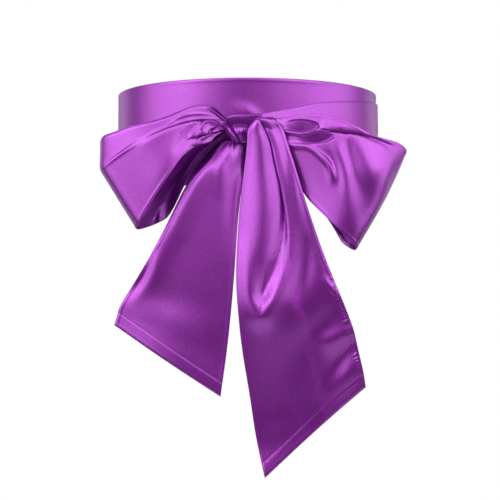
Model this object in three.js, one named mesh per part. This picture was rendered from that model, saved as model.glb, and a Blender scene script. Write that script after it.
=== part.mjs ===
// A satin sash, wound twice round the waist and tied in a bow at the front.
// Millimetres, +Z up, +Y to the wearer's back. The origin is the middle of the waist that it goes round.
import * as THREE from 'three';

// Driving dimensions
const WALL = 1.2; // the ribbon is two layers of satin
const SEAM_GAP = 0.3; // between pieces that lie on each other
const HALF_WIDTH = 121.9; // waist, side to side, to the middle of the outer turn
const HALF_DEPTH = 91; // waist, front to back
const BAND_TOP = 44.5;
const BAND_BOTTOM = -47.5;
const BACK_RISE = 22; // the band rides up at the small of the back
const TURN_PITCH = WALL + SEAM_GAP; // one turn lies this far outside the last
const FIRST_TURN_END = 315; // degrees from the knot, under the last stretch
const SECOND_TURN_END = 639; // on the wearer's left side
const WRAP_END = 715.5; // beside the knot
const CUT_GAP = 0.3; // degrees left open where one stretch of the band follows the last
const BAND_STEP = 9; // degrees
const WRAP_STEP = 4.5;
const PLEAT_REACH = 0.3; // pleats die out this far along a stretch
const ROOT_PLEATS = { count: 2, depth: 0.8, atStart: true, atEnd: true }; // where the knot gathers a loop
const KNOT_SIDES = 14; // of the oval across a bundle of folded cloth

const SATIN = { color: 0xa541b9, roughness: 0.35, metalness: 0.1 };
const SATIN_KNOT = { color: 0x8f35a6, roughness: 0.38, metalness: 0.1 };

// Columns: degrees from the knot, z of the upper edge, z of the lower edge, lift off the turn below
const SECOND_TURN_EDGES = [
  [315, 44.5, -44, 0],
  [345, 44.5, -42, 0],
  [375, 44.5, -42, 0],
  [400, 44.5, -45, 0],
  [450, 44.5, -47.5, 0],
  [540, 43, -48, 0],
  [600, 39, -48, 0],
  [639, 35.5, -48, 0],
];

// Columns: degrees from the knot, z of the upper edge, z of the lower edge, lift off the turn below
const WRAP_EDGES = [
  [639, 35.5, -48, 0],
  [655, 33, -46, 0],
  [668, 30.5, -42, 0.3],
  [680, 27.5, -36, 0.8],
  [690, 24.5, -29, 1.6],
  [700, 19, -19, 3.2],
  [709, 14.5, -8, 5.6],
  [715.5, 11.5, 0.5, 7.3],
];

// Columns: x, y, z of the left edge, x, y, z of the middle, x, y, z of the right edge
const STARTING_END = [
  [-15, -84.6, -18, -6, -84.8, -18, 3, -84.8, -18],
  [-18, -84.6, -36, -7, -84.9, -36, 4, -84.9, -36],
  [-19, -85.4, -50, -8, -85.8, -50, 4, -85.8, -50],
  [-18, -89.5, -56, -8, -90.3, -57, 4, -90.3, -56],
  [-17, -95.5, -50, -8, -96, -51, 3, -96, -50],
  [-15, -98, -34, -8, -99, -34, 1, -98, -34],
  [-14, -99, -16, -8, -100, -16, 0, -99, -16],
  [-13, -101.4, -4.6, -7, -101.8, -4.6, -1, -101.4, -4.6],
];

// Columns: x, y, z of the upper edge, x, y, z of the crease, x, y, z of the lower edge
const LEFT_LOOP = [
  [-19, -104, 9, -19, -106.5, 4, -19, -105, -3],
  [-29, -114.5, 16, -31, -117.5, 6, -33, -116, -10],
  [-47, -121, 13, -47, -125.5, 2, -46, -125.5, -19],
  [-66, -124, 5, -64, -129.5, -6, -55, -131, -31],
  [-84, -124, 0, -80, -131.5, -15, -64, -134.5, -46],
  [-100, -122, -4, -97, -129.5, -24, -76, -135, -65],
  [-115, -118.5, -9, -114, -126.5, -33, -86, -133, -81],
  [-122.5, -107, -14, -121.5, -115, -38, -90.5, -122, -88],
  [-117, -98, -12, -112, -101.5, -40, -81, -100, -84],
  [-100, -92.5, -4, -92, -97, -38, -68, -93, -75],
  [-75, -91, 4, -68, -95, -28, -59, -93, -59],
  [-45, -93, 9, -45, -95.5, -14, -44, -97, -33],
  [-19, -99, 8, -19, -101, 1, -19, -101, -8],
];

// Columns: x, y, z of the upper edge, x, y, z of the middle, x, y, z of the lower edge
const RIGHT_LOOP = [
  [18, -106, 7, 18, -108, 2, 18, -105.5, -4],
  [31, -112, 6, 32, -115, -4, 29, -113, -19],
  [48, -117, 8, 46, -120.5, -14, 37, -114.5, -38],
  [63, -120, 7, 60, -125, -22, 47, -118, -59],
  [80, -123, 2, 76, -129, -32, 60, -125, -74],
  [97, -125, -7, 93, -131, -44, 73, -131, -88],
  [115, -122, -13, 107, -129, -52, 84, -130.5, -98],
  [127, -116, -17, 116, -120, -56, 89, -124, -103],
  [133, -107.5, -22, 119, -109.5, -59, 87, -113, -104],
  [127, -98, -17, 112, -100, -54, 80, -104, -99],
  [101, -89, -4, 90, -93, -44, 73, -101, -85],
  [62, -92, 6, 58, -95, -30, 56, -99, -60],
  [38, -97, 7, 38, -98, -13, 36, -100, -30],
  [18, -101, 7, 18, -102, 2, 18, -101, -4],
];

// Columns: x, y, z of the left edge, x, y, z of the middle, x, y, z of the right edge
const LEFT_TAIL = [
  [-18, -104, -13, -12, -108, -13, -6, -106, -13],
  [-25, -109.5, -19, -14, -114.5, -20, -3.5, -111, -21],
  [-33, -112, -31, -18, -117.5, -33, -3.5, -113, -35],
  [-48, -115.5, -48, -27, -121, -50, -4.5, -116, -52],
  [-61, -118, -73, -34, -124, -77, -7.5, -119, -80],
  [-80, -119, -110, -45, -127, -114, -10, -124, -118],
  [-102, -116, -146, -57, -126, -154, -13.5, -126, -160],
  [-107, -115, -157, -61, -125, -174, -17, -126.5, -192],
  [-110, -114, -167, -66, -124, -196, -21.5, -126, -224],
];

// Columns: x, y, z of the left edge, the main fold, the deep fold line and the right edge
const RIGHT_TAIL = [
  [9, -113.2, 5, 11, -113.4, 5, 14, -113, 5, 20, -112, 6],
  [1, -121, -4, 9, -124, -3, 17, -117.5, -2, 29, -117.5, -3],
  [0, -120.5, -14, 11, -125, -14, 21, -116.5, -16, 32.5, -119, -13],
  [-1.5, -119.5, -30, 12, -126, -31, 25, -115.5, -30, 38.5, -121.5, -33],
  [-4, -119.5, -50, 13, -127, -50, 30, -115.5, -50, 45, -124, -55],
  [-7, -121, -80, 13, -129.5, -80, 32.5, -117, -80, 54, -126, -84],
  [-9, -124, -123, 12, -131, -120, 32, -124, -118, 66, -127.5, -118],
  [-7.5, -125, -155, 16, -131, -153, 40, -127, -150, 78, -126.5, -147],
  [-4, -120, -188, 20, -124, -184, 48, -122.5, -178, 87, -123, -171],
  [2, -114, -225, 27, -115.5, -215, 55, -116, -204, 92, -120.5, -191],
  [7, -110.5, -258, 34, -111, -244, 61, -112, -228, 95.5, -118, -206],
  [14.5, -108, -291, 41, -108, -267.5, 69, -109, -243, 97.5, -116, -217.5],
];

// Columns: x along the roll, y, z of its centre, half depth, half height
const KNOT_ROLL = [
  [-17.4, -104, 2.4, 5, 5.2],
  [-14, -105, 2.6, 6.5, 5.2],
  [-6, -106, 2.8, 7, 4.6],
  [2, -106, 3.2, 7, 4.4],
  [10, -105.5, 4, 6.5, 4.6],
  [16.6, -105, 2, 5, 5.2],
];

// Columns: z along the knob, x, y of its centre, half width, half depth
const KNOT_KNOB = [
  [-3.3, -8, -109, 8, 6],
  [-5, -8, -110, 7.2, 6.8],
  [-8.5, -8.6, -110, 6, 6],
  [-12.2, -9.6, -109, 4.6, 4.6],
];

// Columns: x, y, z of the inner edge, x, y, z of the outer edge
const KNOT_COLLAR = [
  [-16.4, -104, -5.4, -18, -104, -4.8],
  [-16, -110.6, -5.6, -17.4, -110.6, -5],
  [-13.4, -116, -7.4, -15.2, -115.8, -7.6],
  [-10.4, -117.4, -10, -11.8, -117, -11.2],
  [-7.2, -116.2, -12.2, -8, -115.2, -13.2],
  [-4.8, -113.4, -13.2, -5, -112.2, -13.8],
];

function tablePoint(row, column) {
  return new THREE.Vector3(row[column], row[column + 1], row[column + 2]);
}

// The rails of a table run along the stretch, one for each group of three columns
function railsOf(table) {
  const count = table[0].length / 3;
  const rails = [];
  for (let k = 0; k < count; k += 1) {
    const points = table.map((row) => tablePoint(row, 3 * k));
    rails.push(new THREE.CatmullRomCurve3(points, false, 'centripetal'));
  }
  return rails;
}

// Points across the cloth at one place along it: soft bends, or straight panels meeting at a crease
function acrossPoints(rails, along, divisions, creased) {
  const corners = rails.map((rail) => rail.getPoint(along));
  if (creased) {
    const line = new THREE.CurvePath();
    for (let k = 0; k + 1 < corners.length; k += 1) {
      line.add(new THREE.LineCurve3(corners[k], corners[k + 1]));
    }
    const each = divisions / (corners.length - 1);
    return Array.from({ length: divisions + 1 }, (_, j) => {
      const part = Math.min(Math.floor(j / each), corners.length - 2);
      return line.curves[part].getPoint(j / each - part);
    });
  }
  const curve = new THREE.CatmullRomCurve3(corners, false, 'centripetal');
  return Array.from({ length: divisions + 1 }, (_, j) => curve.getPoint(j / divisions));
}

function gridNormals(grid) {
  return grid.map((row, i) => row.map((_, j) => {
    const before = grid[Math.max(i - 1, 0)][j];
    const after = grid[Math.min(i + 1, grid.length - 1)][j];
    const left = row[Math.max(j - 1, 0)];
    const right = row[Math.min(j + 1, row.length - 1)];
    const along = after.clone().sub(before);
    const across = right.clone().sub(left);
    return along.cross(across).normalize();
  }));
}

// Soft pleats at the gathered ends, as deep as named and none in the middle of the stretch
function pleat(grid, { count, depth, atStart, atEnd }) {
  const normals = gridNormals(grid);
  const last = grid.length - 1;
  return grid.map((row, i) => row.map((point, j) => {
    const fromStart = atStart ? Math.max(0, 1 - i / last / PLEAT_REACH) : 0;
    const fromEnd = atEnd ? Math.max(0, 1 - (1 - i / last) / PLEAT_REACH) : 0;
    const wave = Math.sin((2 * Math.PI * count * j) / (row.length - 1));
    return point.clone().addScaledVector(normals[i][j], wave * depth * Math.max(fromStart, fromEnd));
  }));
}

// A closed wall of cloth, half its thickness to each side of a grid of points
function wallGeometry(grid) {
  const rows = grid.length;
  const columns = grid[0].length;
  const normals = gridNormals(grid);
  const positions = [];
  for (const side of [0.5, -0.5]) {
    grid.forEach((row, i) => row.forEach((point, j) => {
      positions.push(...point.clone().addScaledVector(normals[i][j], side * WALL).toArray());
    }));
  }
  const front = (i, j) => i * columns + j;
  const back = (i, j) => rows * columns + i * columns + j;
  const index = [];
  const quad = (a, b, c, d) => index.push(a, b, c, a, c, d);
  for (let i = 0; i + 1 < rows; i += 1) {
    for (let j = 0; j + 1 < columns; j += 1) {
      quad(front(i, j), front(i + 1, j), front(i + 1, j + 1), front(i, j + 1));
      quad(back(i, j), back(i, j + 1), back(i + 1, j + 1), back(i + 1, j));
    }
    const end = columns - 1;
    quad(front(i, 0), back(i, 0), back(i + 1, 0), front(i + 1, 0));
    quad(front(i, end), front(i + 1, end), back(i + 1, end), back(i, end));
  }
  for (let j = 0; j + 1 < columns; j += 1) {
    const end = rows - 1;
    quad(front(0, j), front(0, j + 1), back(0, j + 1), back(0, j));
    quad(front(end, j), back(end, j), back(end, j + 1), front(end, j + 1));
  }
  const geometry = new THREE.BufferGeometry();
  geometry.setAttribute('position', new THREE.Float32BufferAttribute(positions, 3));
  geometry.setIndex(index);
  geometry.computeVertexNormals();
  return geometry;
}

function clothMesh(name, grid, finish) {
  const mesh = new THREE.Mesh(wallGeometry(grid), new THREE.MeshStandardMaterial(finish));
  mesh.name = name;
  return mesh;
}

function ribbon(name, table, { steps, divisions, creased = false, pleats, finish = SATIN }) {
  const rails = railsOf(table);
  let grid = [];
  for (let i = 0; i <= steps; i += 1) {
    grid.push(acrossPoints(rails, i / steps, divisions, creased));
  }
  if (pleats) {
    grid = pleat(grid, pleats);
  }
  return clothMesh(name, grid, finish);
}

function columnAt(table, angle, column) {
  const next = Math.max(1, table.findIndex((row) => row[0] >= angle));
  const before = table[next - 1];
  const after = table[next];
  const share = (angle - before[0]) / (after[0] - before[0]);
  return THREE.MathUtils.lerp(before[column], after[column], THREE.MathUtils.smoothstep(share, 0, 1));
}

// A point of the band: the turns spiral outwards, and the back rides up
function bandPoint(angle, height, lift) {
  const outward = TURN_PITCH * (angle / 360 - 2) + lift;
  const radians = THREE.MathUtils.degToRad(angle);
  const x = -(HALF_WIDTH + outward) * Math.sin(radians);
  const y = -(HALF_DEPTH + outward) * Math.cos(radians);
  const rise = BACK_RISE * THREE.MathUtils.smoothstep(y, 0, HALF_DEPTH);
  return new THREE.Vector3(x, y, height + rise);
}

function bandStretch(name, start, end, { edges, divisions, step = BAND_STEP }) {
  const steps = Math.round((end - start) / step);
  const grid = [];
  for (let i = 0; i <= steps; i += 1) {
    const angle = THREE.MathUtils.lerp(start, end, i / steps);
    const [top, bottom, lift] = edges(angle);
    grid.push(Array.from({ length: divisions + 1 }, (_, j) => (
      bandPoint(angle, THREE.MathUtils.lerp(bottom, top, j / divisions), lift)
    )));
  }
  return clothMesh(name, grid, SATIN);
}

// A bundle of folded cloth, oval across, through the rows of a table; place puts an oval's point in the model
function bundle(name, table, place) {
  const sides = KNOT_SIDES;
  const positions = [];
  const index = [];
  table.forEach((row) => {
    for (let k = 0; k < sides; k += 1) {
      const turn = (2 * Math.PI * k) / sides;
      positions.push(...place(row, Math.cos(turn), Math.sin(turn)));
    }
  });
  const ring = (i, k) => i * sides + (k % sides);
  for (let i = 0; i + 1 < table.length; i += 1) {
    for (let k = 0; k < sides; k += 1) {
      index.push(ring(i, k), ring(i, k + 1), ring(i + 1, k + 1));
      index.push(ring(i, k), ring(i + 1, k + 1), ring(i + 1, k));
    }
  }
  for (let k = 1; k + 1 < sides; k += 1) {
    index.push(ring(0, 0), ring(0, k + 1), ring(0, k));
    index.push(ring(table.length - 1, 0), ring(table.length - 1, k), ring(table.length - 1, k + 1));
  }
  const geometry = new THREE.BufferGeometry();
  geometry.setAttribute('position', new THREE.Float32BufferAttribute(positions, 3));
  geometry.setIndex(index);
  geometry.computeVertexNormals();
  const mesh = new THREE.Mesh(geometry, new THREE.MeshStandardMaterial(SATIN_KNOT));
  mesh.name = name;
  return mesh;
}

function edgesFrom(table) {
  return (angle) => [1, 2, 3].map((column) => columnAt(table, angle, column));
}

const sash = new THREE.Group();

sash.add(ribbon('starting_end', STARTING_END, { steps: 18, divisions: 4 }));
sash.add(bandStretch('first_turn', 0, FIRST_TURN_END, {
  edges: () => [BAND_TOP, BAND_BOTTOM, 0],
  divisions: 4,
}));
sash.add(bandStretch('second_turn', FIRST_TURN_END + CUT_GAP, SECOND_TURN_END, {
  edges: edgesFrom(SECOND_TURN_EDGES),
  divisions: 4,
}));
sash.add(bandStretch('wrap_end', SECOND_TURN_END + CUT_GAP, WRAP_END, {
  edges: edgesFrom(WRAP_EDGES),
  divisions: 8,
  step: WRAP_STEP,
}));

sash.add(bundle('knot_roll', KNOT_ROLL, ([x, y, z, deep, high], c, s) => [x, y + deep * c, z + high * s]));
sash.add(bundle('knot_knob', KNOT_KNOB, ([z, x, y, wide, deep], c, s) => [x + wide * c, y - deep * s, z]));
sash.add(ribbon('knot_collar', KNOT_COLLAR, { steps: 12, divisions: 2, finish: SATIN_KNOT }));

sash.add(ribbon('left_loop', LEFT_LOOP, { steps: 48, divisions: 8, creased: true, pleats: ROOT_PLEATS }));
sash.add(ribbon('right_loop', RIGHT_LOOP, { steps: 48, divisions: 8, pleats: ROOT_PLEATS }));
sash.add(ribbon('left_tail', LEFT_TAIL, { steps: 24, divisions: 8 }));
sash.add(ribbon('right_tail', RIGHT_TAIL, { steps: 32, divisions: 12 }));

export default sash;
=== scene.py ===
import math
from collections import namedtuple

import bpy
import numpy as np
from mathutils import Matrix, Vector


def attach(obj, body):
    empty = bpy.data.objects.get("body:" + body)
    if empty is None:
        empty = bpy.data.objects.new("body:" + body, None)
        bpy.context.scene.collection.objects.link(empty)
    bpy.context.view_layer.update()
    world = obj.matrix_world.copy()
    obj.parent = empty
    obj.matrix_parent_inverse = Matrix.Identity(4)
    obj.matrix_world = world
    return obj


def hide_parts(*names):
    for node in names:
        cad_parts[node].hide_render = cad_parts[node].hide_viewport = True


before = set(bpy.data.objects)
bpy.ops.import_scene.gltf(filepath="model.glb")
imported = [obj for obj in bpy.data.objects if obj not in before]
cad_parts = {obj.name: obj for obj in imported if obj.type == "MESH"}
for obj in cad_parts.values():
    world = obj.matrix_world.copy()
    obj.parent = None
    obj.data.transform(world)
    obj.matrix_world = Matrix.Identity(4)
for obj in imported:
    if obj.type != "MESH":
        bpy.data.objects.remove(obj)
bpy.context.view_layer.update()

# The looks of a satin sash tied in a bow. Tables and sizes are in millimetres and degrees. The lights, the
# camera, the floor and the cut of the sheets are in metres.

MM = 0.001
UV_UNIT = 100.0  # millimetres of ribbon to a unit of its UVs
FRONT = np.array([0.0, -1.0, 0.0])

# The ribbon's thickness, with a fuller line where the seam allowance lies inside each edge
CLOTH = 0.9
EDGE_PUFF = 0.35
EDGE_PUFF_WIDTH = 1.1
EDGE_REACH = 2.2

# The turned-in ends
HEM_DEPTH = 11.0
HEM_FULLNESS = 0.3
HEM_STEP = 0.8
HEM_GROOVE = 0.28
HEM_GROOVE_WIDTH = 0.7

# Folds
NARROWEST = 0.3  # the least half width of a fold
PATH_SAMPLES = 80
RIDGE_SAMPLES = 48
RIDGE_SHARPNESS = 6
RIDGE_END = 12  # past this many squared half widths a ridge is as good as flat
LAP_REACH = 9.0  # how far a lapped fold lifts the cloth beside it
LAP_SINK = 0.35  # how far the cloth beneath sinks, as a share of the lap's height
LAP_HANG = 0.75  # how far the fold hangs over, as a share of its height
LAP_HANG_WIDTH = 1.2  # in half widths of the lap's step, as are the gutter's place and width
LAP_GUTTER = 0.5  # how far the cloth beneath dips close beside it, as a share of its height
LAP_GUTTER_PLACE = 1.5
LAP_GUTTER_WIDTH = 1.6
PUCKER_PITCH = 4.2
PUCKER_DRIFT = 2.6  # radians by which the puckers wander off their even pitch
PUCKER_DRIFT_RATE = 0.33  # radians to a millimetre along the seam
PUCKER_SLANT = 0.25  # radians to a millimetre away from the seam

# Hollows between pleats, in shares of their half length and half height
POCKET_RIM = (0.84, 1.06)
POCKET_SLOPE = (-1.0, 0.3)
POCKET_FLOOR = 0.65
POCKET_LEAN = 0.35

# How finely the cloth is divided
FINE_ENDS = 0.8  # how much closer together the columns are at the edges of the cloth
CREASE_STEPS = 400
LOOP_ROWS = 290
LOOP_PACKING = 1.3  # above 1 the rows are closer together at the front root
LOOP_COLUMNS = 160
LEFT_TAIL_ROWS = 280
RIGHT_TAIL_ROWS = 340
TAIL_COLUMNS = 140
KNOT_ROWS = 90
BAND_ROWS = 900
BAND_COLUMNS = 44
STRAP_ROWS = 60
STRAP_COLUMNS = 20

LOOP_BEND = (0.44, 0.52)  # where along a loop its front turns into its back
LEFT_LOOP_CREASE = 0.02  # how softly its crease is rounded, as a share of the ribbon's width

# The satin: values for the shader's sockets, and the colours between which the weave varies
SATIN_SOCKETS = {
    "Metallic": 0.7,
    "Specular IOR Level": 1.0,
    "Coat Weight": 0.5,
    "Coat IOR": 1.8,
    "Coat Roughness": 0.38,
    "Sheen Weight": 0.12,
    "Sheen Roughness": 0.35,
    "Sheen Tint": (0.9, 0.6, 1.0, 1),
}
SATIN_DEEP = (0.2, 0.003, 0.28, 1)
SATIN_LIGHT = (0.43, 0.013, 0.55, 1)
SATIN_ROUGHNESS = (0.37, 0.42)
WEAVE_BUMP = 0.7
WEAVE_DEPTH = 0.0002
SLUB_SHARE = 0.5
# Noise across, along and through the ribbon. Columns: stretch, scale, detail
FLOATS = ((1, 2.5, 1), 60.0, 2.0)
SLUBS = ((1, 14, 1), 6.0, 3.0)
CLOUDS = ((1, 1, 1), 5.0, 2.0)
NOISE_SPAN = (0.3, 0.7)

# The studio
BOW = (0, -0.1, -0.1)
WAIST = (0, 0, -0.05)
# Columns: name, place, what it is aimed at, size, watts
LIGHTS = [
    ("side_left", (-1.28, -0.78, 0.25), BOW, (1.3, 1.3), 11.5),
    ("front_left", (-0.85, -1.15, 0.85), BOW, (0.9, 0.9), 9.5),
    ("front_right", (0.75, -1.2, 0.8), BOW, (0.9, 0.9), 9),
    ("side_right", (1.4, -0.58, 0.2), BOW, (1.2, 1.4), 11.5),
    ("top", (0, -1.0, 1.35), BOW, (1.2, 0.8), 8.5),
    ("back", (0, 1.6, 0.6), WAIST, (1.4, 1.0), 11),
    ("rim_left", (-1.15, 0.85, 0.05), WAIST, (0.8, 1.2), 3),
    ("rim_right", (1.15, 0.85, 0.05), WAIST, (0.8, 1.2), 3),
]
BACKDROP_SEEN = 1.0
BACKDROP_LIGHT = 0.02
FLOOR_RADIUS = 0.9
FLOOR_LEVEL = -0.85
FLOOR_SIDES = 96
FLOOR_COLOUR = (0.86, 0.86, 0.88, 1)
FLOOR_ROUGHNESS = 0.85

# The camera
CAMERA_PLACE = (0.0023, -1.0, -0.148)
SENSOR_WIDTH = 36.0
PHOTO_WIDTH = 500  # pixels, as are the two values below
FOCAL_LENGTH = 1070
HORIZON_DROP = 52  # how far the horizon lies below the middle of the photograph

# The waist band, as the frame has it
HALF_WIDTH = 121.9
HALF_DEPTH = 91.0
BAND_TOP = 44.5
BAND_BOTTOM = -47.5
BACK_RISE = 22.0
TURN_PITCH = 1.5
TURNS = 2
BAND_ANGLES = (0.0, 715.5)
BULGE_ANGLES = (300, 420)
WRAP_STAND_OFF = 1.6  # the last stretch stands off the turn below, all but its upper edge
WRAP_ANGLES = (600, 690)
WRAP_EDGE = 5  # the higher, the narrower the part of it that stays down
CREASE_FADE = 1.5  # the higher, the sooner a crease fades towards its ends

# Columns: degrees from the knot, z of the upper edge, z of the lower edge, lift off the turn below
BAND_EDGES = [
    (0, 44.5, -47.5, 0),
    (100, 44.5, -47.5, 0),
    (200, 44.5, -47.5, 0),
    (290, 44.5, -46.5, 0),
    (315, 44.5, -44, 0),
    (345, 44.5, -42, 0),
    (375, 44.5, -42, 0),
    (400, 44.5, -45, 0),
    (450, 44.5, -47.5, 0),
    (540, 43, -48, 0),
    (600, 39, -48, 0),
    (639, 35.5, -48, 0),
    (655, 33, -46, 0),
    (668, 30.5, -42, 0.3),
    (680, 27.5, -36, 0.8),
    (690, 24.5, -29, 1.6),
    (700, 19, -19, 3.2),
    (709, 14.5, -8, 5.6),
    (715.5, 11.5, 0.5, 7.3),
]

# Columns: x, y, z at the back above, above, in front, below, and at the back below
KNOT_ROLL = [
    (-19, -105, 4, -19, -108, 6, -19, -108.5, 3.5, -19, -107, -1, -19, -105, -2),
    (-12, -103, 7.4, -12, -110, 7.8, -12, -109.6, 5, -12, -106.5, -0.5, -12, -104, -3.5),
    (-4, -102.5, 7.4, -4, -110.8, 7.8, -4, -110, 5.2, -4, -106.5, 0, -4, -104, -3.5),
    (4, -103, 7.5, 4, -111, 8, 4, -110.4, 5.6, 4, -107, 0, 4, -105, -3),
    (12, -104, 8, 12, -111, 8.4, 12, -110.8, 6, 12, -109, 1, 12, -106, -1),
]
# Columns: x, y, z at the back on the left, on the left, in front, on the right, and at the back on the right
KNOT_KNOB = [
    (-11, -106, 1, -10.5, -108, 1, -6, -109.5, 1, -1, -108, 1, 0, -105, 1),
    (-13, -106, -2, -12, -110.5, -2, -6, -114, -2.3, -0.3, -111.5, -2, 1, -106, -2),
    (-13, -106, -6, -11.5, -111.5, -6, -6, -115.5, -6.3, -0.3, -112.5, -6, 1, -106, -6),
    (-11.5, -106, -10, -10, -111, -10, -5.3, -114, -10.5, -0.5, -111, -10, 0.5, -106, -10),
    (-9.5, -105, -14, -8, -108, -14.5, -4.5, -110, -15, -1, -108, -14.5, 0, -105, -14),
]
# Columns: x, y, z of the upper edge, x, y, z of the middle, x, y, z of the lower edge
KNOT_COLLAR = [
    (-18.5, -108, 1, -19, -111, -1.5, -19.5, -108, -4),
    (-15.5, -112.5, -2, -16, -115, -4, -17, -111.5, -6.5),
    (-13, -114.5, -5.5, -14, -116.5, -7.5, -15, -112.5, -9.5),
    (-10, -114.5, -9.5, -11, -116, -11, -12.5, -112.5, -12.5),
    (-6, -111, -13, -7, -112.5, -14.5, -8, -109.5, -16),
]
# Columns: x, z, height, half width
KNOT_ROLL_FOLDS = [
    [(-18, 3, 0, 0.9), (-10, 4.2, -0.5, 1), (0, 4.6, -0.5, 1), (9, 5.4, 0, 0.9)],
    [(-18, 0.5, 0, 0.7), (-8, 1.4, 0.3, 0.8), (2, 2, 0.3, 0.8), (10, 3, 0, 0.7)],
]
KNOT_KNOB_FOLDS = [
    [(-9.4, 0, -0.3, 1), (-9, -4, -0.4, 1), (-8, -9, -0.4, 1), (-6.4, -14, -0.2, 0.9)],
    [(-6.4, -1, -0.4, 1.1), (-6, -5, -0.6, 1.1), (-5.6, -12, -0.4, 1)],
    [(-3.2, 0, -0.2, 0.9), (-2.9, -4, -0.3, 1), (-3.1, -9, -0.4, 1), (-3.8, -14, -0.2, 0.9)],
]
KNOT_COLLAR_FOLDS = [
    [(-18, -2, -0.2, 0.5), (-14.5, -5.5, -0.4, 0.5), (-11, -10.5, -0.4, 0.5), (-7, -14.5, -0.2, 0.5)],
]

# The seam that closes the doubled ribbon. Columns: x, z, height and half width of its puckers
CLOSING_SEAM = [
    (60, -105, 0, 2),
    (66, -122, 0.15, 1.8),
    (71, -135, 0.35, 2.4),
    (74.5, -147, 0.25, 2.2),
    (79, -159, 0.4, 2.4),
    (84, -176, 0.2, 2),
    (89, -192, 0.3, 2),
    (93, -207, 0.1, 2),
]
STITCH_COUNT = 30
STITCH_LENGTH = 2.4
STITCH_CLEARANCE = 0.1
STITCH_SIDES = 6
THREAD = 0.4
# Columns: place in half lengths of the stitch, lift off its seat, fullness as a share of the thread's
STITCH_RINGS = [
    (-1, -0.1, 0.5),
    (-0.5, 0.12, 1),
    (0, 0.2, 1),
    (0.5, 0.12, 1),
    (1, -0.1, 0.5),
]

# The band swells above the knot. Columns: x, z, height, half width
BAND_BULGE = [(-14, 24, 0, 4), (-7, 19, 0.8, 4.5), (1, 14, 1.8, 5), (9, 10, 0.8, 4.5), (15, 8, 0, 4)]

# Shallow creases along the wound band. Columns: degrees and place across at one end, the same at the other,
# height, half width
BAND_CREASES = [
    (425, 0.62, 478, 0.5, -0.7, 3.5),
    (440, 0.3, 505, 0.42, 0.6, 5),
    (470, 0.82, 560, 0.7, -0.6, 4),
    (492, 0.22, 548, 0.16, -0.8, 3.5),
    (505, 0.55, 600, 0.6, 0.7, 6),
    (530, 0.42, 590, 0.3, -0.7, 4),
    (572, 0.84, 632, 0.74, 0.5, 4.5),
    (596, 0.36, 655, 0.46, -0.8, 4),
    (612, 0.6, 668, 0.66, -0.5, 3.5),
]

# Columns: x, y, z of the left edge, x, y, z of the middle, x, y, z of the right edge
STARTING_END = [
    (-15, -84.6, -18, -6, -84.8, -18, 3, -84.8, -18),
    (-18, -84.6, -36, -7, -84.9, -36, 4, -84.9, -36),
    (-19, -85.4, -50, -8, -85.8, -50, 4, -85.8, -50),
    (-18, -89.5, -56, -8, -90.3, -57, 4, -90.3, -56),
    (-17, -95.5, -50, -8, -96, -51, 3, -96, -50),
    (-15, -98, -34, -8, -99, -34, 1, -98, -34),
    (-14, -99, -16, -8, -100, -16, 0, -99, -16),
    (-13, -101.4, -4.6, -7, -101.8, -4.6, -1, -101.4, -4.6),
]

# Columns: x, y, z of the upper edge, x, y, z of the crease, x, y, z of the lower edge
LEFT_LOOP = [
    (-17, -105, 6, -17, -107, 1.5, -17, -105, -4),
    (-24, -111, 13, -25, -113, 4, -25, -113.5, -9),
    (-33, -116, 16, -34, -119, 5, -35, -120, -16.5),
    (-48, -121, 13, -48, -125.5, 1.5, -46, -127, -22.5),
    (-66, -124, 5, -64, -129.5, -6, -55, -132, -32),
    (-84, -124, 0, -80, -131.5, -15, -65, -136, -48),
    (-99, -122, -3.5, -96, -130, -22.5, -76, -136.5, -65),
    (-111, -119.5, -7.5, -110, -128, -31, -84, -135.5, -78),
    (-120, -115, -10.5, -119.5, -123.5, -36.5, -89, -131.5, -85.5),
    (-123, -106, -14.5, -122, -113.5, -38.5, -90.7, -121, -88),
    (-120.5, -99, -13, -118.5, -105, -39, -88, -109, -86.8),
    (-114, -96.5, -10, -109, -100.5, -39.5, -80, -99, -83),
    (-103, -93, -5, -95, -98, -38.5, -70.5, -93, -78),
    (-90, -91, -0.5, -82, -97, -35, -65, -91, -71.5),
    (-70, -90.5, 5, -66, -95.5, -27, -58.5, -92, -59),
    (-45, -93, 9, -45, -95.5, -14, -46, -98, -35),
    (-28, -97, 10, -29, -98.5, -3, -30, -99.5, -17),
    (-17, -100, 7, -17, -101.5, 1, -17, -101, -6),
]

# Columns: x, y, z of the upper edge, x, y, z of the middle, x, y, z of the lower edge
RIGHT_LOOP = [
    (17, -107, 6, 17, -108.5, 1.5, 17, -106, -4),
    (24, -110, 6, 25, -112, -1, 24, -110, -12),
    (32, -113, 6, 33, -115.5, -5, 29, -113.5, -21),
    (48, -117, 8, 46, -120.5, -14, 37, -115, -38),
    (63, -120, 7, 60, -125, -22, 47, -118.5, -58.5),
    (80, -123, 2, 76, -129, -32, 60, -125.5, -74),
    (97, -124.5, -7, 92, -131, -43, 73, -131.5, -87.5),
    (113, -122.5, -12.5, 104, -129.5, -51.5, 82, -131, -96),
    (124, -118, -15.5, 111.5, -125, -56, 87.5, -127.5, -101.5),
    (131, -113, -19, 115, -118.5, -59, 89.5, -121, -104),
    (133.3, -108, -22, 115.5, -111.5, -60, 88.5, -114.5, -105),
    (130.5, -102, -19.5, 113, -105, -58.5, 84.5, -108.5, -102.5),
    (122, -95.5, -14, 107, -98.5, -54, 79, -104, -97.5),
    (104, -90, -5.5, 94, -93, -46, 74, -101, -88),
    (82, -89.5, 1.5, 74, -93, -37, 63, -99, -71),
    (58, -93, 6, 54, -95.5, -26, 50, -98.5, -53),
    (36, -97.5, 7, 36, -99, -11, 35, -100.5, -28),
    (17, -101, 7, 17, -102, 2, 17, -102, -4),
]

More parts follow.
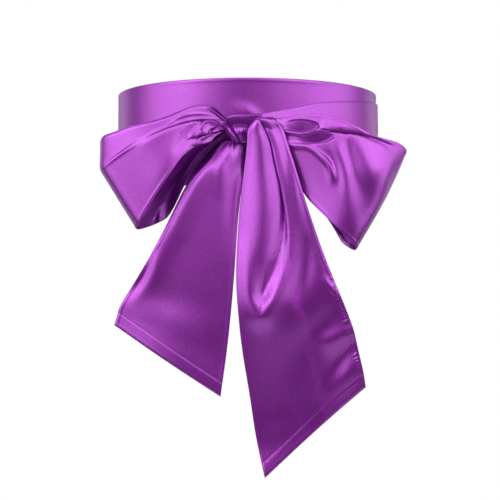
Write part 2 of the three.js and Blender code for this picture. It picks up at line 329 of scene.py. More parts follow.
# Columns: x, y, z of the left edge, x, y, z of the middle, x, y, z of the right edge
LEFT_TAIL = [
    (-18, -104, -13, -12, -108, -13, -6, -106, -13),
    (-25, -109, -19, -14, -114, -20, -3.5, -111, -21),
    (-33, -112, -31, -18, -117, -33, -3.5, -113, -35),
    (-48, -115.5, -48, -27, -118.8, -50, -4.5, -117.4, -52),
    (-61, -118, -73, -34, -121.5, -77, -7.5, -121, -80),
    (-80, -119.5, -110, -45, -124.5, -114, -10, -125.5, -118),
    (-102, -115.5, -146, -57, -125.5, -154, -13.5, -128, -160),
    (-107, -114, -157, -61, -125, -174, -17, -128.5, -192),
    (-110, -113.5, -167, -66, -124, -196, -21.5, -128, -224.5),
]

# Columns: x, y, z of the left edge, the main fold, the deep fold line and the right edge
RIGHT_TAIL = [
    (9, -113.2, 5.5, 11, -113.4, 5.5, 14, -113, 5.5, 20, -112, 6),
    (6.5, -120.5, 3, 10, -122.5, 3.5, 15, -121, 3.5, 23, -118.5, 3.5),
    (1, -121, -5, 9, -124, -4, 17, -121, -3, 29, -118.8, -4),
    (0, -120.5, -14, 11, -124.3, -14, 21, -121, -16, 32.5, -119.2, -13),
    (-1.5, -120, -30, 12, -124.8, -31, 25, -121.5, -30, 38.5, -121.5, -33),
    (-4, -120.5, -50, 13, -126.2, -50, 30, -123, -50, 45, -124, -55),
    (-7, -122, -80, 13, -129.3, -80, 32.5, -126, -80, 54, -126, -84),
    (-9, -125.5, -123, 12, -132, -120, 32, -129.5, -118, 66, -127.5, -118),
    (-7.5, -126.5, -155, 16, -132, -153, 40, -129.5, -150, 78, -127, -147),
    (-4, -120, -188, 20, -123.5, -184, 48, -123, -178, 87, -123.5, -171),
    (2, -112, -225, 27, -114, -215, 55, -116, -204, 92, -120, -191),
    (7, -107.5, -258, 34, -108, -244, 61, -111, -228, 95.5, -117.5, -206),
    (14.5, -110.5, -292.5, 41, -107.5, -268.5, 69, -108.5, -243.5, 97.5, -116, -218),
]

# Folds. A soft fold is a ridge towards the front, or a trough where its height is negative.
# Columns: x, z, height, half width
RIGHT_TAIL_FOLDS = [
    [(-2, -96, 0, 9), (-1, -122, 2.5, 9), (3, -148, 4, 8.5), (11, -161, 4.5, 8), (18, -152, 4, 8),
     (26, -137, 3, 9), (33, -113, 2, 9), (38, -88, 0, 9)],
    [(28, -44, 0, 6), (30, -64, -1.5, 7), (28, -86, -3, 8), (25, -106, -3.8, 9), (19, -125, -4.4, 9),
     (13, -142, -4, 7.5)],
    [(46, -96, 0, 6), (48, -112, -1.5, 7), (44, -132, -2, 8), (37, -148, 0, 8)],
    [(52, -92, 0, 8), (57, -110, 1.4, 9), (62, -130, 1.6, 10), (66, -150, 0, 9)],
    [(78, -150, 0, 8), (66, -160, -2, 10), (52, -178, -3, 13), (42, -198, -2, 13), (36, -215, 0, 12)],
    [(54, -178, 0, 8), (66, -180, 2.2, 8), (76, -176, 2.8, 8), (86, -171, 2, 7), (94, -166, 0, 6)],
    [(90, -174, 0, 6), (81, -187, -2.2, 7), (72, -200, -2.4, 8), (62, -214, 0, 9)],
    [(99, -188, 0, 6), (89, -202, 2, 8), (79, -214, 1.6, 8), (68, -226, 0, 8)],
    [(62, -128, 0, 3), (68, -136, 1.4, 3), (74, -144, 0, 3)],
    [(36, -22, 0, 3), (38, -45, 1.2, 4), (42, -70, 1.2, 5), (48, -95, 0, 6)],
    [(8, -240, 0, 8), (20, -256, 1.2, 9), (40, -242, 0, 9)],
    [(12, -292, 3, 15), (28, -281, 3, 17), (50, -262, 1.6, 15), (68, -246, 0, 12)],
]
LEFT_TAIL_FOLDS = [
    [(-30, -28, 0, 6), (-35, -38, 2, 7), (-47, -60, 3, 9), (-64, -93, 3, 11), (-80, -122, 1.5, 10),
     (-88, -138, 0, 8)],
    [(-76, -104, 0, 4), (-80, -112, -1.5, 4), (-86, -127, -2.5, 5), (-97, -140, -1.5, 5), (-103, -148, 0, 5)],
    [(-88, -134, 0, 12), (-75, -140, -2, 13), (-63, -146, -2.5, 14), (-50, -152, -1.5, 14),
     (-36, -156, 0, 12)],
    [(-10, -30, 0, 5), (-12, -60, -1, 6), (-14, -100, 0, 7)],
    [(-13.5, -13, -1.6, 1.1), (-14, -17, -1.2, 1.4), (-14.5, -24, 0, 2)],
    [(-24, -24, 0, 4), (-22, -40, 1, 6), (-24, -60, 0, 7)],
    [(-100, -172, 0, 12), (-78, -187, 2, 15), (-52, -204, 3.2, 18), (-22, -223, 3.2, 20)],
]
LEFT_LOOP_FOLDS = [
    [(-121, -40, 0.5, 1), (-110, -31.6, 0.6, 1.1), (-99, -24, 0.5, 1.3), (-90, -18.5, 0, 2)],
    [(-31, 15, 0.8, 0.6), (-26, 12.8, 2.2, 0.6), (-21, 9, 2.6, 0.6), (-16.5, 5, 1.4, 0.5)],
    [(-33, 12.4, 0.8, 0.6), (-27, 9.6, 2, 0.6), (-21.5, 5.9, 2.4, 0.6), (-17, 2.4, 1.2, 0.5)],
    [(-37, -7, 0, 1.2), (-36.5, -1, 2.4, 1.2), (-32, 1.5, 2.8, 1.1), (-25, 0.5, 2.6, 1), (-17, -1, 1.2, 0.8)],
    [(-32, -3.5, 0, 1), (-27, -2, 2, 0.9), (-21, -3, 2, 0.8), (-16, -4, 1, 0.7)],
    [(-46, -22, 0, 1.6), (-39, -14.5, 2.4, 1.5), (-30, -9.5, 2.6, 1.3), (-20, -6, 1.6, 1)],
    [(-74, -58, 0, 10), (-66, -42, 0.8, 12), (-58, -26, 0.8, 10), (-50, -16, 0, 9)],
    [(-60, -27, 0, 3), (-53, -16, -1.8, 3.4), (-48, -8, -2.2, 3.2), (-43, -2, -1.2, 2.4)],
]
LEFT_LOOP_BACK_FOLDS = [
    [(-36, -16, 0, 2.5), (-42, -27, 2.4, 3), (-48, -38, 3, 3.5), (-55, -51, 2.4, 4), (-62, -64, 0, 5)],
    [(-50, -28, 0, 5), (-60, -46, -3, 6), (-69, -62, -4, 7), (-78, -76, -4.5, 7), (-86, -86, -3, 6)],
    [(-70, -64, 0, 3), (-74, -72, 1.6, 3), (-75, -80, 1.4, 3)],
]
RIGHT_LOOP_FOLDS = [
    [(20, -2.5, 0.8, 1.4), (34, -7, 1.6, 1.6), (48, -9.5, 1.4, 1.6), (58, -9, 0, 1.8)],
    [(28, -14, 0, 2), (38, -18.5, 1.8, 2.2), (50, -20.5, 1.8, 2.2), (60, -28, 2.5, 2.4), (67, -37, 2.8, 2.4),
     (70, -50, 0, 3)],
    [(66, -22, 0, 3), (72, -33, -1.6, 3.5), (75, -46, -1.4, 4), (76, -60, 0, 5)],
    [(77, -6, -1.2, 0.9), (80, -8.5, -0.9, 1.1), (83, -11, 0, 1.4)],
    [(82, -12, 0, 5), (84, -26, -2, 6), (89, -44, -2.2, 8), (93, -60, -1.4, 9), (94, -78, 0, 9)],
    [(72, -14, 0, 5), (75, -34, 1, 7), (81, -60, 1.4, 9), (86, -84, 1, 8), (88, -97, 0, 6)],
    [(132, -26, 0, 11), (123, -36, 2, 13), (111, -43, 2.4, 14), (100, -42, 1.4, 13), (92, -34, 0, 10)],
]

# Pleats that run out from the knot. Columns: place across, height as a share of the width, half width as a
# share of it, reach
KNOT_ROLL_PLEATS = [
    (0.07, 0.05, 0.04, 60),
    (0.17, -0.06, 0.05, 60),
    (0.28, 0.05, 0.05, 60),
    (0.9, -0.05, 0.06, 60),
]
LOOP_BACK_PLEATS = [
    (0.08, 0.1, 0.035, 40),
    (0.2, -0.12, 0.04, 55),
    (0.31, 0.12, 0.035, 48),
    (0.44, -0.1, 0.04, 60),
    (0.55, 0.13, 0.04, 44),
    (0.68, -0.12, 0.045, 52),
    (0.8, 0.11, 0.035, 38),
    (0.92, -0.09, 0.035, 45),
]
LEFT_LOOP_PLEATS = [
    (0.7, 0.1, 0.035, 22),
    (0.8, -0.08, 0.03, 18),
    (0.9, 0.08, 0.035, 20),
]
LEFT_TAIL_PLEATS = [
    (0.12, 0.04, 0.05, 8),
    (0.3, -0.05, 0.05, 9),
    (0.6, -0.1, 0.05, 10),
    (0.88, -0.03, 0.05, 8),
]

# Lapped folds: the cloth to the left of the line, going along it, stands over the cloth to its right.
# Columns: x, z, height, half width of the step
RIGHT_TAIL_LAPS = [
    [(11.5, 2, 1, 0.8), (16, -4, 2, 0.8), (22, -17, 3.4, 0.8), (25, -30, 4, 0.8), (29, -47, 4, 0.9),
     (32, -64, 4, 1.2), (33.5, -80, 3.4, 1.8), (33, -96, 2, 3), (31, -114, 0, 6)],
    [(12, 3, 1, 0.7), (17, -2, 1.5, 0.7), (20, -6, 0, 0.7)],
]
LEFT_LOOP_LAPS = [
    [(-96, -21.5, 0, 2), (-86, -15.5, 0.3, 1.2), (-76, -10, 0.7, 0.9), (-64, -4.6, 1, 0.8),
     (-53, -0.4, 1.2, 0.8), (-42, 2.6, 1.4, 0.8), (-33, 3.6, 1.4, 0.8), (-24, 4, 0.8, 0.8)],
    [(-36, -11, 0, 1), (-33, -6, 2, 0.6), (-28, -2, 2.6, 0.55), (-23, 1.5, 2.4, 0.5), (-16, 1.5, 1, 0.5)],
    [(-52, -16, 0, 1.2), (-42, -10.5, 2.4, 0.7), (-34, -7.5, 3, 0.6), (-27, -5.5, 2.8, 0.55),
     (-20, -3, 2, 0.5), (-14, -3, 1, 0.5)],
    [(-48, -20, 0, 1.2), (-40, -17.5, 2, 0.7), (-31, -14, 2.4, 0.6), (-22, -9.5, 2, 0.5), (-15, -5, 1, 0.5)],
    [(-66, -4, 0, 1), (-56, 3, 1, 0.7), (-52, 5, 1, 0.7), (-42, 7, 1, 0.7), (-33, 7, 0.8, 0.7),
     (-24, 6, 0, 0.7)],
]
RIGHT_LOOP_LAPS = [
    [(60, -5, 0, 0.8), (68, -6, 1.6, 0.8), (78, -6.8, 2, 0.9), (92, -8.6, 1.8, 1), (106, -12.5, 1.5, 1.3),
     (118, -17, 0.8, 1.8), (127, -22, 0, 2.5)],
]
# Hollows between the pleats, deeper towards their lower right.
# Columns: x, z, half length, half height, tilt, depth
RIGHT_LOOP_POCKETS = [
    (45, -1.6, 15, 5.2, -4, 4.5),
    (56, -12.6, 15.5, 5, 3, 4.8),
]

# The cut of each sheet, flat, in metres and square metres, and the nodes that it stands for
Sheet = namedtuple("Sheet", "name nodes flat area held rests_on")
SHEETS = [
    Sheet("waist_band", ["first_turn", "second_turn", "wrap_end"], (0.1, 1.33), None, "stretched", []),
    Sheet("starting_strap", ["starting_end"], (0.021, 0.09), None, "gathered", ["waist_band"]),
    Sheet("bow_loop_left", ["left_loop"], (0.1, 0.225), 0.018, "gathered", ["knot_roll"]),
    Sheet("bow_loop_right", ["right_loop"], (0.1, 0.255), 0.0215, "gathered", ["knot_roll"]),
    Sheet("tail_left", ["left_tail"], (0.1, 0.215), 0.0165, "gathered", ["knot_knob"]),
    Sheet("tail_right", ["right_tail"], (0.1, 0.3), 0.0255, "gathered", ["knot_roll"]),
    Sheet("knot_top_roll", ["knot_roll"], (0.028, 0.029), None, "folded", []),
    Sheet("knot_front_knob", ["knot_knob"], (0.022, 0.019), None, "folded", []),
    Sheet("knot_side_collar", ["knot_collar"], (0.011, 0.018), None, "folded", []),
]
HEMMED = ("tail_left", "tail_right")


# Smooth curves through the rows of a table

def spline(values, places):
    """A natural cubic spline through evenly spaced rows, at places from 0 to 1."""
    values = np.asarray(values, float)
    count = len(values)
    if count < 3:
        share = places.reshape((-1,) + (1,) * (values.ndim - 1))
        return values[0] * (1 - share) + values[1] * share
    system = np.zeros((count, count))
    right = np.zeros_like(values)
    system[0, 0] = system[-1, -1] = 1.0
    for i in range(1, count - 1):
        system[i, i - 1:i + 2] = 1.0, 4.0, 1.0
        right[i] = 6.0 * (values[i - 1] - 2 * values[i] + values[i + 1])
    bends = np.linalg.solve(system, right.reshape(count, -1)).reshape(values.shape)
    at = np.clip(places, 0, 1) * (count - 1)
    low = np.minimum(at.astype(int), count - 2)
    t = (at - low).reshape((-1,) + (1,) * (values.ndim - 1))
    a, b = values[low], values[low + 1]
    bend_a, bend_b = bends[low], bends[low + 1]
    return a * (1 - t) + b * t + ((1 - t) ** 3 - (1 - t)) * bend_a / 6 + (t ** 3 - t) * bend_b / 6


def smoothstep(x, low, high):
    """Rises smoothly from 0 to 1 between low and high."""
    t = np.clip((x - low) / (high - low), 0, 1)
    return t * t * (3 - 2 * t)


def smooth_column(at, places, values):
    """Values between the rows of a table, flat through level stretches and smooth through bends."""
    slopes = np.gradient(values, places)
    low = np.clip(np.searchsorted(places, at, side="right") - 1, 0, len(places) - 2)
    gap = places[low + 1] - places[low]
    t = (at - places[low]) / gap
    rise = t * t * (3 - 2 * t)
    start = t * (1 - t) ** 2 * gap * slopes[low]
    end = t * t * (t - 1) * gap * slopes[low + 1]
    return values[low] * (1 - rise) + values[low + 1] * rise + start + end


def even(count):
    """Places from 0 to 1, evenly spaced."""
    return np.linspace(0, 1, count)


def fine_at_both_ends(count):
    """Places from 0 to 1, closer together at both ends."""
    t = even(count)
    return t - FINE_ENDS * np.sin(2 * np.pi * t) / (2 * np.pi)


# Grids of points, with rows along the ribbon and columns across it

def points_of(table):
    """The rows of a table as points, three columns of it to each."""
    return np.array(table, float).reshape(len(table), -1, 3)


def loft(table, along, across):
    """A grid of points on smooth curves through a table, both ways."""
    lengthwise = spline(points_of(table), along)
    return spline(lengthwise.transpose(1, 0, 2), across).transpose(1, 0, 2)


def between_columns(grid, places):
    """Points between the columns of a grid, at places given in columns."""
    low = np.minimum(places.astype(int), grid.shape[1] - 2)
    share = (places - low)[None, :, None]
    return grid[:, low] * (1 - share) + grid[:, low + 1] * share


def round_bends(grid, spread):
    """Averages each point with its neighbours in its row, as if the rows ran on straight past both edges."""
    reach = int(3 * spread)
    kernel = np.exp(-0.5 * (np.arange(-reach, reach + 1) / spread) ** 2)
    kernel /= kernel.sum()
    before = 2 * grid[:, :1] - grid[:, reach:0:-1]
    after = 2 * grid[:, -1:] - grid[:, -2:-reach - 2:-1]
    padded = np.concatenate([before, grid, after], axis=1)
    rounded = np.zeros_like(grid)
    for k, weight in enumerate(kernel):
        rounded += weight * padded[:, k:k + grid.shape[1]]
    return rounded


def creased_loft(table, along, across, softness):
    """As loft, but straight across between the rails, with each bend rounded over the softness."""
    rails = spline(points_of(table), along)
    straight = between_columns(rails, even(CREASE_STEPS + 1) * (rails.shape[1] - 1))
    return between_columns(round_bends(straight, softness * CREASE_STEPS), across * CREASE_STEPS)


def normals_of(grid):
    """The unit normal of a grid at each of its points."""
    along = np.gradient(grid, axis=0)
    across = np.gradient(grid, axis=1)
    normal = np.cross(along, across)
    return normal / np.maximum(np.linalg.norm(normal, axis=2, keepdims=True), 1e-9)


def run_along(grid, axis):
    """Millimetres along one axis of a grid, from its first row or column."""
    steps = np.linalg.norm(np.diff(grid, axis=axis), axis=2)
    start = np.zeros_like(steps.take([0], axis=axis))
    return np.concatenate([start, np.cumsum(steps, axis=axis)], axis=axis)


# Folds

Nearness = namedtuple("Nearness", "distance height width rightward run")


def near_path(grid, rows):
    """How each point, seen from the front, lies to a path: the distance to its left, the height and width
    there, the direction to its right, and the run along it."""
    samples = spline(rows, even(PATH_SAMPLES))
    tangent = np.gradient(samples[:, :2], axis=0)
    tangent /= np.linalg.norm(tangent, axis=1, keepdims=True)
    run = np.concatenate([[0], np.cumsum(np.linalg.norm(np.diff(samples[:, :2], axis=0), axis=1))])
    flat = grid[..., (0, 2)].reshape(-1, 1, 2)
    offset = flat - samples[None, :, :2]
    length = np.linalg.norm(offset, axis=2)
    nearest = length.argmin(axis=1)
    pick = np.arange(len(nearest))
    offset = offset[pick, nearest]
    direction = tangent[nearest]
    leftward = direction[:, 0] * offset[:, 1] - direction[:, 1] * offset[:, 0]
    rightward = np.stack([direction[:, 1], 0 * leftward, -direction[:, 0]], axis=1)
    further = (direction * offset).sum(axis=1)
    shape = grid.shape[:2]
    return Nearness(distance=(np.sign(leftward) * length[pick, nearest]).reshape(shape),
                    height=samples[nearest, 2].reshape(shape),
                    width=np.maximum(samples[nearest, 3], NARROWEST).reshape(shape),
                    rightward=rightward.reshape(shape + (3,)),
                    run=(run[nearest] + further).reshape(shape))


def bell(distance, width):
    """1 at no distance, falling off smoothly past the width."""
    return np.exp(-(distance / width) ** 2)


def bump_along(near):
    return near.height * bell(near.distance, near.width)


def ridge(grid, rows):
    """A rounded ridge along a path, seen from the front, smooth where the path bends back on itself."""
    samples = spline(rows, even(RIDGE_SAMPLES))
    width = np.maximum(samples[:, 3], NARROWEST)
    height = np.abs(samples[:, 2])
    spacing = np.linalg.norm(np.diff(samples[:, :2], axis=0), axis=1).mean()
    overlap = max(1.0, np.sqrt(np.pi / RIDGE_SHARPNESS) * width.mean() / spacing)
    total = np.zeros(grid.shape[:2])
    for (x, z), high, wide in zip(samples[:, :2], height, width):
        away = ((grid[..., 0] - x) ** 2 + (grid[..., 2] - z) ** 2) / wide ** 2
        total += (high * np.exp(-np.minimum(away, RIDGE_END))) ** RIDGE_SHARPNESS
    sign = np.sign(samples[:, 2].sum())
    return sign * (total / overlap) ** (1 / RIDGE_SHARPNESS)


def lap_rise(near):
    """The step of a lapped fold, with the gutter beside it in the cloth beneath."""
    over = 0.5 + 0.5 * np.tanh(near.distance / near.width)
    step = (over - LAP_SINK) * bell(near.distance, LAP_REACH)
    gutter_distance = near.distance + LAP_GUTTER_PLACE * near.width
    gutter = LAP_GUTTER * bell(gutter_distance, LAP_GUTTER_WIDTH * near.width)
    return near.height * (step - gutter)


def lap_hang(near):
    """How far the edge of a lapped fold hangs over the cloth beneath."""
    return LAP_HANG * near.height * bell(near.distance - near.width, LAP_HANG_WIDTH * near.width)


def fold_cloth(grid, folds, laps=(), mask=1.0):
    """Moves the points of the mask towards the front, by soft folds and by lapped ones."""
    rise = np.zeros(grid.shape[:2])
    folded = grid.copy()
    for rows in folds:
        rise += ridge(grid, rows)
    for rows in laps:
        near = near_path(grid, rows)
        rise += lap_rise(near)
        folded += (lap_hang(near) * mask)[..., None] * near.rightward
    folded[..., 1] -= rise * mask
    return folded


def pocket(grid, x, z, half_length, half_height, tilt, depth):
    """How deep a hollow lies at each point: it opens to the left and leans back towards its lower lip."""
    turn = math.radians(tilt)
    right = grid[..., 0] - x
    up = grid[..., 2] - z
    along = (right * math.cos(turn) + up * math.sin(turn)) / half_length
    above = (up * math.cos(turn) - right * math.sin(turn)) / half_height
    within = 1 - smoothstep(np.hypot(along, above), *POCKET_RIM)
    return depth * within * smoothstep(along, *POCKET_SLOPE) * (POCKET_FLOOR - POCKET_LEAN * above)


def pucker(grid, seam):
    """Small puckers across a seam, uneven along it."""
    near = near_path(grid, seam)
    drift = PUCKER_DRIFT * np.sin(near.run * PUCKER_DRIFT_RATE) + near.distance * PUCKER_SLANT
    folded = grid.copy()
    folded[..., 1] -= bump_along(near) * np.sin(2 * np.pi * near.run / PUCKER_PITCH + drift)
    return folded


def gather(grid, pleats, last_row_first=False):
    """Pleats that run out from the row where the cloth is gathered, each a share of its width there."""
    if last_row_first:
        return gather(grid[::-1], pleats)[::-1]
    steps = np.linalg.norm(np.diff(grid, axis=0), axis=2).mean(axis=1)
    run = np.concatenate([[0], np.cumsum(steps)])[:, None]
    wide = np.linalg.norm(np.diff(grid, axis=1), axis=2).sum(axis=1)[:, None]
    across = even(grid.shape[1])[None, :]
    rise = np.zeros(grid.shape[:2])
    for place, share, half_width, reach in pleats:
        rise += share * wide * bell(run, reach) * bell(across - place, half_width)
    return grid + normals_of(grid) * rise[..., None]


# The cloth's thickness

def edge_distance(grid):
    """For each point, millimetres to the nearest edge of the cloth, measured along the grid."""
    from_start = run_along(grid, 0)
    from_left = run_along(grid, 1)
    to_ends = np.minimum(from_start, from_start[-1:] - from_start)
    to_sides = np.minimum(from_left, from_left[:, -1:] - from_left)
    return np.minimum(to_ends, to_sides)


def half_thickness(distance):
    """Rounded at the very edge, a little fuller just inside it where the seam allowance lies."""
    radius = CLOTH / 2
    rounded = np.sqrt(np.clip(1 - (1 - np.minimum(distance / radius, 1)) ** 2, 0, 1))
    puff = EDGE_PUFF / 2 * bell(distance - EDGE_REACH, EDGE_PUFF_WIDTH)
    return (radius + puff) * rounded


def hem_thickness(grid):
    """Extra thickness of the turned-in end, with a groove along its stitching."""
    to_end = run_along(grid[::-1], 0)[::-1]
    turned_in = 1 - smoothstep(to_end, HEM_DEPTH - HEM_STEP, HEM_DEPTH + HEM_STEP)
    return HEM_FULLNESS * turned_in - HEM_GROOVE * bell(to_end - HEM_DEPTH, HEM_GROOVE_WIDTH)


# Meshes

def new_piece(name, points, faces):
    """A smooth object from points in millimetres."""
    mesh = bpy.data.meshes.new(name)
    mesh.from_pydata((np.asarray(points) * MM).tolist(), [], faces)
    mesh.polygons.foreach_set("use_smooth", [True] * len(faces))
    mesh.update()
    piece = bpy.data.objects.new(name, mesh)
    bpy.context.collection.objects.link(piece)
    return piece


def quads(index):
    """The faces between the rows and columns of a grid of point numbers."""
    corners = [index[:-1, :-1], index[1:, :-1], index[1:, 1:], index[:-1, 1:]]
    return np.stack(corners, axis=-1).reshape(-1, 4)


def shell(name, grid, extra=0.0):
    """A closed thin shell about a grid of points, in one mesh with UVs along and across the ribbon."""
    rows, columns = grid.shape[:2]
    distance = edge_distance(grid)
    half = half_thickness(distance) + extra * np.minimum(distance / EDGE_REACH, 1)
    offset = normals_of(grid) * half[..., None]
    inner = np.zeros((rows, columns), bool)
    inner[1:-1, 1:-1] = True
    front_index = np.arange(rows * columns).reshape(rows, columns)
    back_index = front_index.copy()
    back_index[inner] = rows * columns + np.arange(inner.sum())
    points = np.vstack([(grid + offset).reshape(-1, 3), (grid - offset)[inner]])
    faces = np.vstack([quads(front_index), quads(back_index)[:, ::-1]])
    piece = new_piece(name, points, faces.tolist())
    uv = np.stack([run_along(grid, 1), run_along(grid, 0)], axis=-1) / UV_UNIT
    flat_uv = np.vstack([uv.reshape(-1, 2), uv[inner]])
    layer = piece.data.uv_layers.new(name="ribbon")
    layer.data.foreach_set("uv", flat_uv[faces.reshape(-1)].reshape(-1))
    return piece


# The pieces of cloth

def band_creases(angle, across, width):
    """How far shallow creases lift the band, by degrees along it and the place across it."""
    rise = np.zeros((len(angle), len(across)))
    for start, start_across, end, end_across, height, half_width in BAND_CREASES:
        share = (angle - start) / (end - start)
        centre = start_across + (end_across - start_across) * share
        fade = np.sin(np.pi * np.clip(share, 0, 1)) ** CREASE_FADE
        rise += height * fade[:, None] * bell((across[None, :] - centre[:, None]) * width, half_width)
    return rise


def band_grid():
    """Two turns of an oval spiral, with the last stretch gathered to the knot."""
    angle = np.linspace(*BAND_ANGLES, BAND_ROWS)
    across = fine_at_both_ends(BAND_COLUMNS)
    places, *edges = np.array(BAND_EDGES, float).T
    top, bottom, lift = (smooth_column(angle, places, edge) for edge in edges)
    outward = TURN_PITCH * (angle / 360 - TURNS) + lift
    turn = np.radians(angle)
    x = -(HALF_WIDTH + outward) * np.sin(turn)
    y = -(HALF_DEPTH + outward) * np.cos(turn)
    back_rise = BACK_RISE * smoothstep(y, 0, HALF_DEPTH)
    stand_off = WRAP_STAND_OFF * smoothstep(angle, *WRAP_ANGLES)[:, None] * (1 - across ** WRAP_EDGE)
    stand_off += band_creases(angle, across, BAND_TOP - BAND_BOTTOM)
    grid = np.empty((BAND_ROWS, BAND_COLUMNS, 3))
    grid[..., 0] = x[:, None] - stand_off * np.sin(turn)[:, None]
    grid[..., 1] = y[:, None] - stand_off * np.cos(turn)[:, None]
    grid[..., 2] = bottom[:, None] * (1 - across) + top[:, None] * across + back_rise[:, None]
    over_knot = (angle > BULGE_ANGLES[0]) & (angle < BULGE_ANGLES[1])
    grid[over_knot, :, 1] -= bump_along(near_path(grid[over_knot], BAND_BULGE))
    return grid


def strap_grid():
    return loft(STARTING_END, even(STRAP_ROWS), fine_at_both_ends(STRAP_COLUMNS))


def loop_along():
    return even(LOOP_ROWS) ** LOOP_PACKING


def front_of_loop():
    """1 on the front of a loop and 0 on its back."""
    return (1 - smoothstep(loop_along(), *LOOP_BEND))[:, None]


def left_loop_grid():
    grid = creased_loft(LEFT_LOOP, loop_along(), fine_at_both_ends(LOOP_COLUMNS), LEFT_LOOP_CREASE)
    grid = gather(grid, LOOP_BACK_PLEATS, last_row_first=True)
    grid = gather(grid, LEFT_LOOP_PLEATS)
    folded = fold_cloth(grid, LEFT_LOOP_FOLDS, LEFT_LOOP_LAPS, front_of_loop())
    return fold_cloth(folded, LEFT_LOOP_BACK_FOLDS, mask=1 - front_of_loop())


def right_loop_grid():
    grid = loft(RIGHT_LOOP, loop_along(), fine_at_both_ends(LOOP_COLUMNS))
    grid = gather(grid, LOOP_BACK_PLEATS, last_row_first=True)
    folded = fold_cloth(grid, RIGHT_LOOP_FOLDS, RIGHT_LOOP_LAPS, front_of_loop())
    for row in RIGHT_LOOP_POCKETS:
        folded[..., 1] += pocket(grid, *row) * front_of_loop()
    return folded


def left_tail_grid():
    grid = loft(LEFT_TAIL, even(LEFT_TAIL_ROWS), fine_at_both_ends(TAIL_COLUMNS))
    return fold_cloth(gather(grid, LEFT_TAIL_PLEATS), LEFT_TAIL_FOLDS)


def right_tail_grid():
    grid = loft(RIGHT_TAIL, even(RIGHT_TAIL_ROWS), fine_at_both_ends(TAIL_COLUMNS))
    return fold_cloth(pucker(grid, CLOSING_SEAM), RIGHT_TAIL_FOLDS, RIGHT_TAIL_LAPS)


def knot_grid(table, folds, pleats=()):
    grid = loft(table, even(KNOT_ROWS), even(KNOT_ROWS))
    return fold_cloth(gather(grid, pleats), folds)


def cloth_grids():
    """The grid of points of each sheet, by its name."""
    return {
        "waist_band": band_grid(),
        "starting_strap": strap_grid(),
        "bow_loop_left": left_loop_grid(),
        "bow_loop_right": right_loop_grid(),
        "tail_left": left_tail_grid(),
        "tail_right": right_tail_grid(),
        "knot_top_roll": knot_grid(KNOT_ROLL, KNOT_ROLL_FOLDS, KNOT_ROLL_PLEATS),
        "knot_front_knob": knot_grid(KNOT_KNOB, KNOT_KNOB_FOLDS),
        "knot_side_collar": knot_grid(KNOT_COLLAR, KNOT_COLLAR_FOLDS),
    }


# The stitches of the closing seam

def stitch_points(seat, along, aside):
    """Rings of points along one stitch, which dips into the cloth at both ends."""
    points = []
    for share, lift, fullness in STITCH_RINGS:
        middle = seat + along * share + FRONT * lift
        for turn in range(STITCH_SIDES):
            angle = turn * 2 * np.pi / STITCH_SIDES
            ring = aside * np.cos(angle) + FRONT * THREAD / 2 * np.sin(angle)
            points.append(middle + ring * fullness)
    return points


def stitch_faces(first):
    """The faces of one stitch, whose points start at number first."""
    last_ring = first + (len(STITCH_RINGS) - 1) * STITCH_SIDES
    faces = []
    for ring in range(first, last_ring, STITCH_SIDES):
        for turn in range(STITCH_SIDES):
            a = ring + turn
            b = ring + (turn + 1) % STITCH_SIDES
            faces.append((a, b, b + STITCH_SIDES, a + STITCH_SIDES))
    faces.append(tuple(range(first, first + STITCH_SIDES))[::-1])
    faces.append(tuple(range(last_ring, last_ring + STITCH_SIDES)))
    return faces


def stitches(name, grid, seam):
    """Thread showing along a seam, one short stitch after another, lying on the front of the cloth."""
    path = spline(seam, even(STITCH_COUNT + 1))[:, :2]
    points, faces = [], []
    for start, end in zip(path[:-1], path[1:]):
        gap = np.abs(grid[..., (0, 2)] - (start + end) / 2).sum(axis=2)
        seat = grid[np.unravel_index(gap.argmin(), gap.shape)] + FRONT * (CLOTH / 2 + STITCH_CLEARANCE)
        x, z = (end - start) / np.linalg.norm(end - start)
        along = np.array([x, 0, z]) * STITCH_LENGTH / 2
        aside = np.array([-z, 0, x]) * THREAD / 2
        faces += stitch_faces(len(points))
        points += stitch_points(seat, along, aside)
    return new_piece(name, points, faces)


# The material

def noise(tree, ribbon, stretch, scale, detail):
    """Noise over the ribbon, stretched across and along it."""
    mapping = tree.nodes.new("ShaderNodeMapping")
    mapping.inputs["Scale"].default_value = stretch
    texture = tree.nodes.new("ShaderNodeTexNoise")
    texture.inputs["Scale"].default_value = scale
    texture.inputs["Detail"].default_value = detail
    tree.links.new(ribbon.outputs["UV"], mapping.inputs["Vector"])
    tree.links.new(mapping.outputs["Vector"], texture.inputs["Vector"])
    return texture.outputs["Fac"]


def spread(tree, value, low, high):
    """The middle of a noise's range, spread from low to high."""
    node = tree.nodes.new("ShaderNodeMapRange")
    node.inputs["From Min"].default_value = NOISE_SPAN[0]
    node.inputs["From Max"].default_value = NOISE_SPAN[1]
    node.inputs["To Min"].default_value = low
    node.inputs["To Max"].default_value = high
    tree.links.new(value, node.inputs["Value"])
    return node.outputs["Result"]


def dyed(tree, floats):
    """The colour, deeper between the floats of the weave."""
    dye = tree.nodes.new("ShaderNodeMix")
    dye.data_type = "RGBA"
    dye.inputs["A"].default_value = SATIN_DEEP
    dye.inputs["B"].default_value = SATIN_LIGHT
    tree.links.new(spread(tree, floats, 0.0, 1.0), dye.inputs["Factor"])
    return dye.outputs["Result"]


def woven(tree, floats, slubs):
    """The normal, roughened by the floats of the weave and its thicker threads."""
    heights = tree.nodes.new("ShaderNodeMath")
    heights.operation = "MULTIPLY_ADD"
    heights.inputs[1].default_value = SLUB_SHARE
    tree.links.new(slubs, heights.inputs[0])
    tree.links.new(floats, heights.inputs[2])
    bump = tree.nodes.new("ShaderNodeBump")
    bump.inputs["Strength"].default_value = WEAVE_BUMP
    bump.inputs["Distance"].default_value = WEAVE_DEPTH
    tree.links.new(heights.outputs["Value"], bump.inputs["Height"])
    return bump.outputs["Normal"]


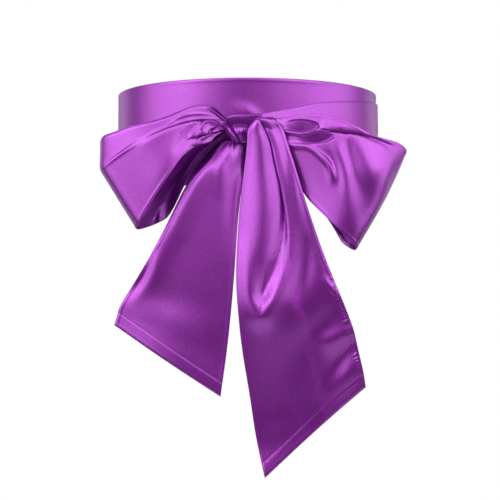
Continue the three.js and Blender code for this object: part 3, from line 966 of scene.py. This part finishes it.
def new_material(name):
    """A material with nodes, its tree and its shader."""
    material = bpy.data.materials.new(name)
    material.use_nodes = True
    return material, material.node_tree, material.node_tree.nodes["Principled BSDF"]


def satin_material():
    """Satin: long floats across a fine weave, a little uneven in colour and gloss."""
    material, tree, shader = new_material("purple_satin")
    for socket, value in SATIN_SOCKETS.items():
        shader.inputs[socket].default_value = value
    ribbon = tree.nodes.new("ShaderNodeUVMap")
    ribbon.uv_map = "ribbon"
    floats = noise(tree, ribbon, *FLOATS)
    slubs = noise(tree, ribbon, *SLUBS)
    clouds = noise(tree, ribbon, *CLOUDS)
    tree.links.new(spread(tree, clouds, *SATIN_ROUGHNESS), shader.inputs["Roughness"])
    tree.links.new(dyed(tree, floats), shader.inputs["Base Color"])
    tree.links.new(woven(tree, floats, slubs), shader.inputs["Normal"])
    return material


# The scene

def camera():
    """Level with the tails and looking up a little, as the photograph does."""
    data = bpy.data.cameras.new("camera")
    data.sensor_width = SENSOR_WIDTH
    data.lens = SENSOR_WIDTH * FOCAL_LENGTH / PHOTO_WIDTH
    view = bpy.data.objects.new("camera", data)
    view.location = CAMERA_PLACE
    view.rotation_euler = (math.pi / 2 + math.atan(HORIZON_DROP / FOCAL_LENGTH), 0, 0)
    bpy.context.collection.objects.link(view)
    bpy.context.scene.camera = view


def area_light(name, place, target, size, watts):
    data = bpy.data.lights.new(name, "AREA")
    data.shape = "RECTANGLE"
    data.size, data.size_y = size
    data.energy = watts
    light = bpy.data.objects.new(name, data)
    light.location = place
    light.rotation_euler = (Vector(target) - Vector(place)).to_track_quat("-Z", "Y").to_euler()
    bpy.context.collection.objects.link(light)


def white_world():
    """White where the camera sees it, with hardly any light of its own."""
    world = bpy.data.worlds.new("studio")
    world.use_nodes = True
    nodes, links = world.node_tree.nodes, world.node_tree.links
    background = nodes["Background"]
    background.inputs["Color"].default_value = (1, 1, 1, 1)
    path = nodes.new("ShaderNodeLightPath")
    strength = nodes.new("ShaderNodeMapRange")
    strength.inputs["To Min"].default_value = BACKDROP_LIGHT
    strength.inputs["To Max"].default_value = BACKDROP_SEEN
    links.new(path.outputs["Is Camera Ray"], strength.inputs["Value"])
    links.new(strength.outputs["Result"], background.inputs["Strength"])
    return world


def studio():
    bpy.context.scene.view_settings.view_transform = "Standard"
    bpy.context.scene.world = white_world()
    for light in LIGHTS:
        area_light(*light)


def floor():
    bpy.ops.mesh.primitive_circle_add(vertices=FLOOR_SIDES, radius=FLOOR_RADIUS, fill_type="NGON",
                                      location=(0, 0, FLOOR_LEVEL))
    ground = bpy.context.object
    ground.name = "floor"
    material, _, shader = new_material("pale_floor")
    shader.inputs["Base Color"].default_value = FLOOR_COLOUR
    shader.inputs["Roughness"].default_value = FLOOR_ROUGHNESS
    ground.data.materials.append(material)


def finish_piece(piece, material):
    piece.data.materials.append(material)
    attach(piece, "root")


def sash():
    satin = satin_material()
    grids = cloth_grids()
    for sheet in SHEETS:
        grid = grids[sheet.name]
        piece = shell(sheet.name, grid, hem_thickness(grid) if sheet.name in HEMMED else 0.0)
        finish_piece(piece, satin)
        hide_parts(*sheet.nodes)
    finish_piece(stitches("closing_seam_thread", grids["tail_right"], CLOSING_SEAM), satin)


camera()
studio()
floor()
sash()
